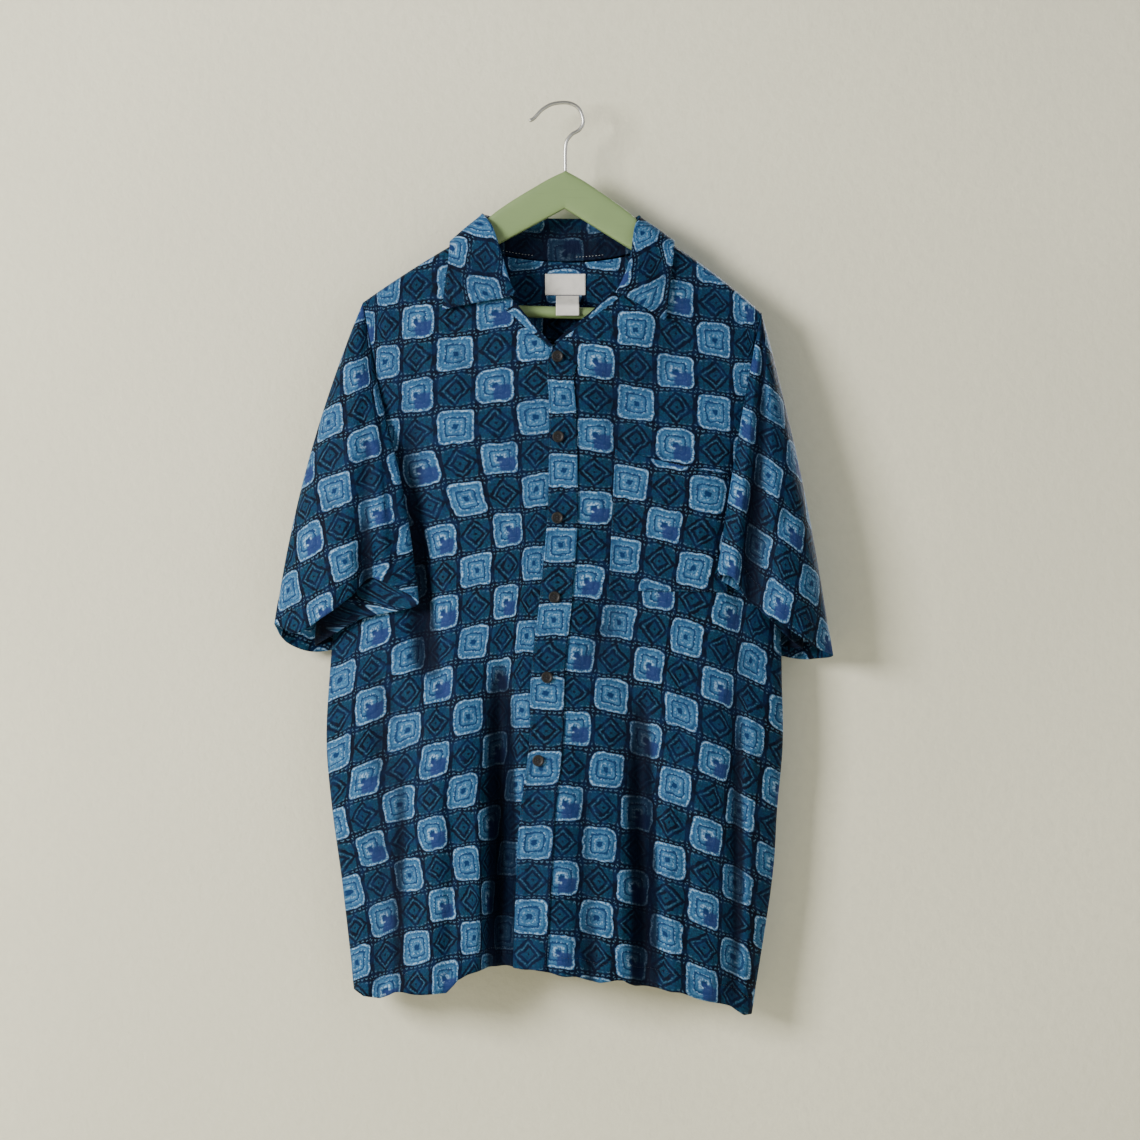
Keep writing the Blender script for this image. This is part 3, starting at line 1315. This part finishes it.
class SHIRT_OT_collar(bpy.types.Operator):
    """Makes the one-piece collar, its edge stitching and the turned lapels"""

    bl_idname = "shirt.collar"
    bl_label = "Collar and lapels"

    def execute(self, context):
        look = context.scene.shirt_look
        finish = cloth_finish(look)
        points = collar_point(*shares(COLLAR_GRID))
        length = arc(points, 0)
        across = (length - length[COLLAR_GRID["rows"] // 2]) / CELL["wide"] + COLLAR_PRINT["across"]
        down = arc(points, 1) / CELL["high"] + COLLAR_PRINT["down"]
        piece = surface("collar_cloth", points, np.stack([across, down], axis=-1), flip=True)
        sheet_piece(piece, COLLAR_THICK, finish)
        at = COLLAR_STITCHES
        along = np.linspace(0.01, 0.99, 400)
        lines = [line_on(collar_point, np.full(along.shape, at["edge"]), along, True)]
        fall = np.linspace(*at["fall"], 60)
        lines += [line_on(collar_point, fall, np.full(fall.shape, end), True) for end in at["ends"]]
        stitched("collar_stitching", lines, thread_finish(look))
        nape = np.linspace(0.3, 0.7, 400)
        points, normal = line_on(collar_point, np.full(nape.shape, at["seam"]), nape, True, NAPE_PROUD)
        parts = [(points[:, 0] > low) & (points[:, 0] < high) for low, high in NAPE_STITCHES]
        stitched("neck_stitching", [(points[part], normal[part]) for part in parts], white_finish())
        for name, front, reach, lift in (
            ("lapel_right", RIGHT_FRONT, 0, LAID),
            ("lapel_left", LEFT_FRONT, 0.75, -LAID),
        ):
            flip = front.side > 0
            points = laid_on(lapel_face(front, reach)(*shares(LAPEL_GRID)), flip, lift)
            coordinates = np.stack([arc(points, 1), arc(points, 0)], axis=-1) / CELL["wide"]
            piece = surface(name + "_cloth", points, coordinates, flip)
            sheet_piece(piece, LABEL_SHELL, finish)
        return {"FINISHED"}


PLACKET_GRID = {"columns": 24, "rows": 240}
PLACKET = {"share": 0.085, "inset": 2.0, "edge": 17.0, "from": 426.8}
POCKET_GRID = {"columns": 70, "rows": 80}
POCKET = Table(
    "x z",
    ("top in", 57, -372),
    ("top out", 181, -400),
    ("low in", 50, -526),
    ("low out", 178, -528),
)
POCKET_SAG = 4
POCKET_MOUTH = {"hem": 26, "length": 150, "bow": 1.6}
POCKET_SHIFT = (0.12, -0.2)


def locate(face, x, z, start=(0.4, 0.4)):
    """Shares at which a face has this width and height, by Newton's method with steps of limited length."""
    step = 1e-4
    u = np.full(np.shape(x), start[0], float)
    b = np.full(np.shape(x), start[1], float)
    for _ in range(25):
        here = face(u, b)
        du = (face(u + step, b) - here) / step
        db = (face(u, b + step) - here) / step
        ex, ez = x - here[..., 0], z - here[..., 2]
        area = du[..., 0] * db[..., 2] - db[..., 0] * du[..., 2]
        u = np.clip(u + np.clip((ex * db[..., 2] - ez * db[..., 0]) / area, -0.1, 0.1), -0.1, 0.98)
        b = np.clip(b + np.clip((ez * du[..., 0] - ex * du[..., 2]) / area, -0.1, 0.1), 0.01, 0.99)
    return u, b


def pocket_place(a, b):
    """Width and height on the pocket: between its four corners, with a mouth that sags in its middle."""
    x, z = POCKET.column("x"), POCKET.column("z")
    place_x = lerp(lerp(x[0], x[1], a), lerp(x[2], x[3], a), b)
    place_z = lerp(lerp(z[0], z[1], a), lerp(z[2], z[3], a), b)
    return place_x, place_z - POCKET_SAG * 4 * a * (1 - a) * (1 - b)


class SHIRT_OT_front_details(bpy.types.Operator):
    """Makes the button band and the chest pocket, with their stitching"""

    bl_idname = "shirt.front_details"
    bl_label = "Placket and pocket"

    def execute(self, context):
        look = context.scene.shirt_look
        finish = cloth_finish(look)
        face = front_face(LEFT_FRONT)
        top = LEFT_SECTIONS.place("top button")
        u = np.linspace(0, PLACKET["share"], PLACKET_GRID["columns"])
        flat = face(*grid(u, np.linspace(top, 1, PLACKET_GRID["rows"])))
        across = arc(flat, 1)
        down = (PRINT_TOP - flat[..., 2] - PLACKET["from"]) / CELL["high"] + 1.5
        coordinates = np.stack([(across - PLACKET["edge"]) / CELL["wide"] + 1.5, down], axis=-1)
        piece = surface("placket_cloth", laid_on(flat, True, LAID), coordinates, flip=True)
        sheet_piece(piece, LAID_SHELL, finish)
        down = np.linspace(top + 0.006, 0.997, 500)
        width = np.abs(np.diff(across[:, [0, -1]], axis=1)).mean()
        inset = PLACKET["share"] * PLACKET["inset"] / width
        places = (inset, PLACKET["share"] - inset)
        lines = [line_on(face, np.full(down.shape, place), down, True, LAID) for place in places]
        a, b = shares(POCKET_GRID)
        u, place = locate(face, *pocket_place(a, b))
        flat = face(u, place)
        coordinates = front_print(LEFT_FRONT, LEFT_PRINT, flat, place) + POCKET_SHIFT
        bow = POCKET_MOUTH["bow"] * np.sin(np.pi * a) * (1 - smoothstep(b, 0, 0.25))
        points = flat + normals_of(flat, True) * (LAID + bow)[..., None]
        piece = surface("pocket_cloth", points, coordinates, flip=True)
        sheet_piece(piece, LAID_SHELL, finish)
        normal = normals_of(points, True)
        hem = int(POCKET_GRID["rows"] * POCKET_MOUTH["hem"] / POCKET_MOUTH["length"])
        lines += [(points[:, k], normal[:, k]) for k in (1, -2)]
        lines += [(points[-2], normal[-2]), (points[hem, 1:-1], normal[hem, 1:-1])]
        stitched("front_stitching", lines, thread_finish(look))
        return {"FINISHED"}


BUTTON = {
    "radius": 6.2, "height": 2.8, "edge": 0.6, "bevel": 0.18, "rim": 1.2, "slope": 0.8, "dish": 0.9,
    "lift": 3.2,
}
BUTTON_HOLES = {"spread": 1.35, "radius": 0.62, "floor": 0.434, "depth": 1.2}
BUTTON_THREAD = {"radius": 0.26, "rise": 0.45, "sunk": 0.15}
BUTTON_PLACES = Table(
    "x z",
    ("button_1", -5, -275),
    ("button_2", -4, -361),
    ("button_3", -5, -448),
    ("button_4", -8, -533),
    ("button_5", -16, -619),
    ("button_6", -25, -708),
)


def button_shape():
    """A turned disc with a raised rim and a dished middle in which four holes are sunk, on polar rows: the
    holes lower the dish by bells round their middles."""
    radius, height, edge = BUTTON["radius"], BUTTON["height"], BUTTON["edge"]
    floor = height - BUTTON["dish"]
    inner = radius - edge - BUTTON["rim"] - BUTTON["slope"]
    outline = np.array([
        (0.01, 0), (radius - edge, 0), (radius, edge), (radius, height - edge),
        (radius - BUTTON["bevel"], height - BUTTON["bevel"]), (radius - edge, height),
        (radius - edge - BUTTON["rim"], height), (inner, floor),
    ])
    rings = np.linspace(inner, 0.01, 24)[1:]
    profile = np.concatenate([outline, np.stack([rings, np.full(rings.shape, floor)], axis=1)])
    angle = np.linspace(0, 2 * np.pi, 64, endpoint=False)
    r, h = profile[:, :1], np.broadcast_to(profile[:, 1:], (len(profile), len(angle))).copy()
    x, y = r * np.cos(angle), r * np.sin(angle)
    inside = (np.arange(len(profile)) >= len(outline))[:, None]
    holes = BUTTON_HOLES
    for side_x in (-1, 1):
        for side_y in (-1, 1):
            away = np.hypot(x - side_x * holes["spread"], y - side_y * holes["spread"])
            h -= inside * holes["depth"] * (1 - smoothstep(away, holes["floor"], holes["radius"]))
    return np.stack([x, y, h], axis=-1)


def button_thread():
    """Two loops of thread across the holes: half rings of a round section, standing on the dish."""
    spread, thread = BUTTON_HOLES["spread"], BUTTON_THREAD
    arch = np.linspace(-thread["sunk"], np.pi + thread["sunk"], 14)
    ring = np.linspace(0, 2 * np.pi, 8, endpoint=False)
    height = BUTTON["height"] - BUTTON["dish"] + thread["rise"] * np.sin(arch)
    out = np.stack([np.cos(arch), np.zeros(arch.shape), np.sin(arch)], axis=1)
    section = np.cos(ring)[None, :, None] * out[:, None] + np.sin(ring)[None, :, None] * np.array([0, 1, 0])
    loops = []
    for side in (-1, 1):
        middle = np.stack([spread * np.cos(arch), np.full(arch.shape, side * spread), height], axis=1)
        loops.append(middle[:, None] + thread["radius"] * section)
    return loops


class SHIRT_OT_buttons(bpy.types.Operator):
    """Makes the six buttons on the placket, with the thread through their holes"""

    bl_idname = "shirt.buttons"
    bl_label = "Buttons"

    def execute(self, context):
        look = context.scene.shirt_look
        horn = material("dark horn", dark_horn, look)
        thread = thread_finish(look)
        disc = button_shape()
        loops = button_thread()

        def plain(u, b):
            return front_point(LEFT_FRONT, u, b, creased=False)

        for name, (x, z) in zip(BUTTON_PLACES.labels, BUTTON_PLACES.values):
            u, b = locate(plain, np.array([x]), np.array([z]))
            middle, normal = line_on(plain, u, b, True)
            middle, up = middle[0] + normal[0] * BUTTON["lift"], normal[0]
            across = unit(np.cross([0, 0, 1.0], up))
            turn = np.stack([across, np.cross(up, across), up])
            piece = surface(name + "_disc", middle + disc @ turn, closed=True)
            finish_piece(piece, horn, name, slot="button")
            parts = [(grid_faces(*loop.shape[:2], closed=True)[0], middle + loop @ turn) for loop in loops]
            count = parts[0][1].reshape(-1, 3).shape[0]
            points = np.concatenate([p.reshape(-1, 3) for _, p in parts])
            faces = np.concatenate([parts[0][0], parts[1][0] + count])
            finish_piece(new_object(name + "_thread", points, faces), thread)
        return {"FINISHED"}


NECK_LABEL_GRID = {"columns": 40, "rows": 24}
CARE_LABEL_GRID = {"columns": 20, "rows": 40}
NECK_LABEL = {"x": 3.5, "top": -182, "width": 44, "height": 23, "lift": -2.3}
CARE_LABEL = {"x": 6, "width": 25, "curl": 1.2}
CARE_LABEL_FALL = Table(
    "y z",
    ("under the neck label", 17.6, -205.7),
    ("start of the fall", 9, -210),
    ("over the bar", -2, -214.5),
    ("front of the bar", -8.5, -219),
    ("end", -9.5, -229),
)


def smooth_back(u, b):
    return back_point(u, b, creased=False)


class SHIRT_OT_labels(bpy.types.Operator):
    """Makes the bare label at the back neck and the small bare one under it"""

    bl_idname = "shirt.labels"
    bl_label = "Labels"

    def execute(self, context):
        look = context.scene.shirt_look
        tape = material("woven tape", label_tape, look)
        label = NECK_LABEL
        a, b = shares(NECK_LABEL_GRID)
        x, z = label["x"] + label["width"] * (a - 0.5), label["top"] - label["height"] * b
        base = smooth_back(*locate(smooth_back, x, z, (0.5, 0.2)))
        points = base + normals_of(base) * label["lift"]
        piece = surface("neck_label_tape", points, np.stack([a, b], axis=-1), flip=True)
        sheet_piece(piece, LABEL_SHELL, tape, slot="label")
        up = -normals_of(base)
        edges = [(points[k, 1:-1], up[k, 1:-1]) for k in (1, -2)]
        edges += [(points[1:-1, k], up[1:-1, k]) for k in (1, -2)]
        stitched("label_stitching", edges, white_finish())
        a, b = shares(CARE_LABEL_GRID)
        fall = CARE_LABEL_FALL.at(b)
        curl = CARE_LABEL["curl"] * (2 * a - 1) ** 2 * b
        x = CARE_LABEL["x"] + CARE_LABEL["width"] * (a - 0.5)
        points = np.stack([x, fall["y"] - curl, fall["z"]], axis=-1)
        piece = surface("care_label_tape", points, np.stack([a, b], axis=-1), flip=True)
        sheet_piece(piece, LABEL_SHELL, tape, slot="label")
        return {"FINISHED"}


HANGER = {"x": 4, "z": -72, "tilt": 0.0295, "thick": 12, "square": 5.0, "stations": 120, "round": 72}
HANGER_OUTLINE = Table(
    "out top low",
    ("neck", 0, 0, -41),
    ("shoulder of the neck", 26, -14, -56),
    ("slope", 76, -48, -85),
    ("under the collar", 112, -85.5, -109),
    ("arm", 150, -107, -130),
    ("bar end", 180, -127.5, -146),
    ("end", 206, -146.5, -161),
)
HANGER_NOSE = 3.4
BAR = {"radius": 6.5, "z": -153.5, "half": 179.7, "sides": 40, "steps": 40}
WIRE = {"radius": 2.1, "sides": 20, "steps": 260}
WIRE_LINE = Table(
    "x z",
    ("foot", 3.5, -71.4),
    ("shaft", 4, -44),
    ("bend", 10, -33),
    ("lower bow", 19, -27),
    ("right bow", 23, -18),
    ("upper bow", 19, -5.5),
    ("crown right", 10.5, 0.8),
    ("crown", 0, 2.1),
    ("crown left", -12, 0),
    ("fall", -22, -6),
    ("tip", -30, -14.5),
    ("kick", -34, -17),
)


def tilted(points):
    """From the hanger's own frame into the shirt's: turned by its tilt about Y and moved to its place."""
    cos, sin = np.cos(HANGER["tilt"]), np.sin(HANGER["tilt"])
    x = points[..., 0] * cos + points[..., 2] * sin + HANGER["x"]
    z = -points[..., 0] * sin + points[..., 2] * cos + HANGER["z"]
    return np.stack([x, points[..., 1], z], axis=-1)


def arms_points():
    """The arms: a rounded rectangle at each station out from the middle, as high as the outline there. Its
    corners are those of a curve whose powers of width and height sum to one. The ends close in a nose."""
    out = HANGER_OUTLINE.column("out")
    nose = np.sin(np.linspace(0, np.pi / 2, 12))[1:]
    half = np.concatenate([np.linspace(0, out[-1], HANGER["stations"]), out[-1] + HANGER_NOSE * nose])
    share = np.interp(half, out, np.linspace(0, 1, len(out)))
    row = HANGER_OUTLINE.at(share)
    top = np.interp(half, row["out"], row["top"])
    low = np.interp(half, out, HANGER_OUTLINE.column("low"))
    close = np.concatenate([np.ones(HANGER["stations"]), np.sqrt(np.maximum(0, 1 - nose**2))])
    middle, tall = (top + low) / 2, (top - low) / 2 * close
    both = np.concatenate([-half[:0:-1], half])
    middle, tall, close = (np.concatenate([part[:0:-1], part]) for part in (middle, tall, close))
    angle = np.linspace(0, 2 * np.pi, HANGER["round"], endpoint=False)
    power = 2 / HANGER["square"]
    wide = np.sign(np.cos(angle)) * np.abs(np.cos(angle)) ** power
    high = np.sign(np.sin(angle)) * np.abs(np.sin(angle)) ** power
    y = HANGER["thick"] / 2 * wide[None] * close[:, None]
    z = middle[:, None] + tall[:, None] * high[None]
    x = np.broadcast_to(both[:, None], y.shape)
    return tilted(np.stack([x, y, z], axis=-1))


def tube(line, radius, sides, up):
    """A round tube along a line in the plane square to up, with domed ends: at the ends the section shrinks
    by the sine and its middle moves on by the cosine of a quarter turn."""
    along = unit(np.gradient(line, axis=0))
    angle = np.linspace(0, 2 * np.pi, sides, endpoint=False)
    turn = np.linspace(0, np.pi / 2, 6)[:-1]
    radii = np.concatenate([np.sin(turn), np.ones(len(line)), np.sin(turn[::-1])]) * radius
    radii = np.maximum(radii, radius * 0.01)
    start = line[0] - along[0] * (np.cos(turn) * radius)[:, None]
    end = line[-1] + along[-1] * (np.cos(turn[::-1]) * radius)[:, None]
    middle = np.concatenate([start, line, end])
    ends = [np.repeat(along[k][None], len(turn), 0) for k in (0, -1)]
    along = np.concatenate([ends[0], along, ends[1]])
    side = unit(np.cross(along, up))
    ring = np.cos(angle)[None, :, None] * side[:, None] + np.sin(angle)[None, :, None] * np.asarray(up, float)
    return middle[:, None] + ring * radii[:, None, None]


class SHIRT_OT_hanger(bpy.types.Operator):
    """Makes the wooden hanger, its bar and its wire hook"""

    bl_idname = "shirt.hanger"
    bl_label = "Hanger"

    def execute(self, context):
        look = context.scene.shirt_look
        wood = material("painted wood", painted_wood, look)
        arms = surface("hanger_arms_wood", arms_points(), closed=True)
        finish_piece(arms, wood, "hanger_arms", slot="hanger")
        reach = np.linspace(-BAR["half"], BAR["half"], BAR["steps"])
        line = tilted(np.stack([reach, np.zeros(reach.shape), np.full(reach.shape, BAR["z"])], axis=-1))
        bar = surface("trouser_bar_wood", tube(line, BAR["radius"], BAR["sides"], (0, 1.0, 0)), closed=True)
        finish_piece(bar, wood, "trouser_bar", slot="hanger")
        row = WIRE_LINE.at(np.linspace(0, 1, WIRE["steps"]))
        line = np.stack([row["x"], np.zeros(WIRE["steps"]), row["z"]], axis=-1)
        wire = surface("hook_wire", tube(line, WIRE["radius"], WIRE["sides"], (0, 1.0, 0)), closed=True)
        finish_piece(wire, material("plated wire", plated_wire, look), "hook", slot="hook")
        return {"FINISHED"}


STAGE = {"wall": 46, "half": 2600, "top": 1500, "floor": -1420, "cove": 260, "forward": -3600}
CAMERA = {"x": 8.6, "z": -504, "distance": 4200, "picture": 1225.5, "plane": -30}
LIGHTS = (
    ("key", (-2.3, -2.3, 0.25), 1.1, 190, (1.0, 0.975, 0.94)),
    ("fill", (1.9, -2.8, 0.1), 2.4, 30, (0.95, 0.975, 1.0)),
    ("from behind", (1.4, 2.6, 0.6), 1.6, 150, (1.0, 0.98, 0.95)),
)
LIGHT_AIM = (0, 0, -0.5)
ROOM = {"colour": (0.93, 0.93, 0.92), "strength": 0.36}


class SHIRT_OT_stage(bpy.types.Operator):
    """Makes the pale floor and backdrop, the soft lights and the camera"""

    bl_idname = "shirt.stage"
    bl_label = "Stage"

    def execute(self, context):
        look = context.scene.shirt_look
        self.backdrop(look)
        for name, place, size, power, colour in LIGHTS:
            light = bpy.data.lights.new(name, "AREA")
            light.energy = power * look.brightness
            light.size = size
            light.color = colour
            lamp = bpy.data.objects.new(name, light)
            lamp.location = place
            aim = np.subtract(LIGHT_AIM, place)
            lamp.rotation_euler[0] = np.arctan2(np.hypot(aim[0], aim[1]), -aim[2])
            lamp.rotation_euler[2] = np.arctan2(aim[1], aim[0]) - np.pi / 2
            context.scene.collection.objects.link(lamp)
        world = bpy.data.worlds.new("soft room")
        world.use_nodes = True
        back = world.node_tree.nodes["Background"]
        back.inputs["Color"].default_value = linear(ROOM["colour"])
        back.inputs["Strength"].default_value = ROOM["strength"] * look.brightness
        context.scene.world = world
        self.camera(context)
        return {"FINISHED"}

    def backdrop(self, look):
        """A wall that runs down into the floor by a quarter circle, carried along X."""
        s = STAGE
        turn = np.linspace(0, np.pi / 2, 24)
        cove_y = s["wall"] - s["cove"] * (1 - np.cos(turn))
        cove_z = s["floor"] + s["cove"] * (1 - np.sin(turn))
        y = np.concatenate([[s["wall"]], cove_y, [s["forward"]]])
        z = np.concatenate([[s["top"]], cove_z, [s["floor"]]])
        x = np.linspace(-s["half"], s["half"], 12)
        points = np.stack(np.broadcast_arrays(x[None], y[:, None], z[:, None]), axis=-1)
        piece = surface("backdrop", points, flip=True)
        piece.data.materials.append(plastered_wall(look))
        piece.visible_shadow = False

    def camera(self, context):
        """Square to the shirt, from as far as the picture's view suggests, with its width at the plane of
        the front."""
        c = CAMERA
        data = bpy.data.cameras.new("camera")
        data.sensor_width = 36
        data.lens = data.sensor_width * (c["distance"] + c["plane"]) / c["picture"]
        data.clip_end = 100
        eye = bpy.data.objects.new("camera", data)
        eye.location = (c["x"] * MM, -c["distance"] * MM, c["z"] * MM)
        eye.rotation_euler = (np.pi / 2, 0, 0)
        context.scene.collection.objects.link(eye)
        context.scene.camera = eye


def tint(name, default):
    settings = {"subtype": "COLOR_GAMMA", "default": default, "min": 0, "max": 1}
    return FloatVectorProperty(name=name, description=f"Colour: {name}", **settings)


class ShirtLook(bpy.types.PropertyGroup):
    """Colours and light that a user would change"""

    navy: tint("print's darkest blue", (0.0, 0.012, 0.08))
    teal: tint("ground of the dark cells", (0.03, 0.13, 0.215))
    green: tint("greener parts of the dark cells", (0.07, 0.22, 0.31))
    light: tint("light cells", (0.27, 0.435, 0.57))
    mid: tint("shaded parts of the light cells", (0.15, 0.32, 0.465))
    deep: tint("rings of the light cells", (0.02, 0.14, 0.30))
    pale: tint("outlines of the light cells", (0.56, 0.68, 0.80))
    violet: tint("violet quarters", (0.11, 0.17, 0.36))
    line: tint("thin lines of the dark cells", (0.24, 0.37, 0.46))
    thread: tint("sewing thread", (0.03, 0.08, 0.17))
    tape: tint("labels", (0.78, 0.77, 0.75))
    hanger: tint("hanger's paint", (0.43, 0.515, 0.33))
    steel: tint("hook", (0.72, 0.72, 0.71))
    horn: tint("buttons", (0.04, 0.034, 0.036))
    wall: tint("backdrop", (0.83, 0.818, 0.735))
    brightness: FloatProperty(
        name="brightness", description="Strength of all the lights", default=1.0, min=0.1, max=5.0
    )


CLASSES = [
    ShirtLook,
    SHIRT_OT_body,
    SHIRT_OT_sleeves,
    SHIRT_OT_collar,
    SHIRT_OT_front_details,
    SHIRT_OT_buttons,
    SHIRT_OT_labels,
    SHIRT_OT_hanger,
    SHIRT_OT_stage,
]
STEPS = [cls for cls in CLASSES if cls is not ShirtLook]


class SHIRT_PT_panel(bpy.types.Panel):
    """Lists the steps that make the shirt"""

    bl_idname = "SHIRT_PT_panel"
    bl_label = "Shirt on a hanger"
    bl_space_type = "VIEW_3D"
    bl_region_type = "UI"
    bl_category = "Shirt"

    def draw(self, context):
        for step in STEPS:
            self.layout.operator(step.bl_idname)
        self.layout.prop(context.scene.shirt_look, "brightness")
        for name in ("light", "teal", "navy", "violet", "hanger"):
            self.layout.prop(context.scene.shirt_look, name)


def register():
    for cls in (*CLASSES, SHIRT_PT_panel):
        bpy.utils.register_class(cls)
    bpy.types.Scene.shirt_look = PointerProperty(type=ShirtLook)


def unregister():
    del bpy.types.Scene.shirt_look
    for cls in reversed((*CLASSES, SHIRT_PT_panel)):
        bpy.utils.unregister_class(cls)


def main():
    """Makes every piece in order."""
    register()
    for step in STEPS:
        group, name = step.bl_idname.split(".")
        getattr(getattr(bpy.ops, group), name)()


if __name__ == "__main__":
    main()
